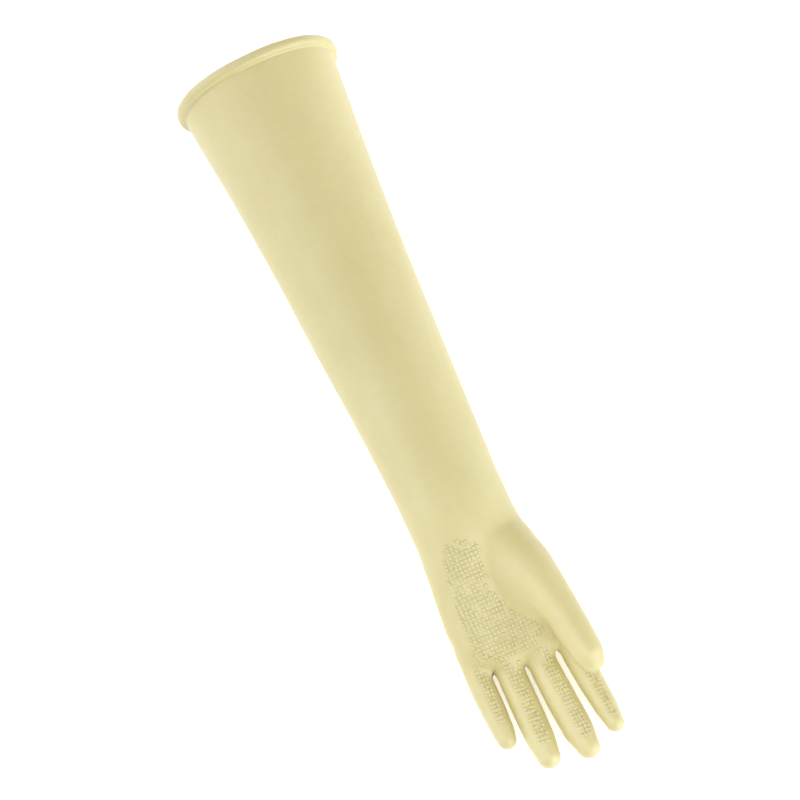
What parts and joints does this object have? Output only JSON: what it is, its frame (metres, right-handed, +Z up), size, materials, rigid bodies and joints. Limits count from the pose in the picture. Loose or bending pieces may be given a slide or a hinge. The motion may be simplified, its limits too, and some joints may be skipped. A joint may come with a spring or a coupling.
{
  "type": "long rubber glove",
  "caption": "Elbow-length moulded natural rubber glove for the left hand, hollow throughout, with a rolled bead at the mouth and a waffle grip on the palm and fingers.",
  "frame": {"origin": "middle of the footprint, at the level of the surface that the glove lies on", "axes": "+X towards the fingertips, +Y towards the thumb, +Z up out of the palm"},
  "size_m": [0.6088, 0.1418, 0.1295],
  "materials": {
    "natural_rubber": "satin, pale cream-yellow, lets a little light through"
  },
  "bodies": {
    "root": {"glove": "natural_rubber"}
  },
  "joints": []
}
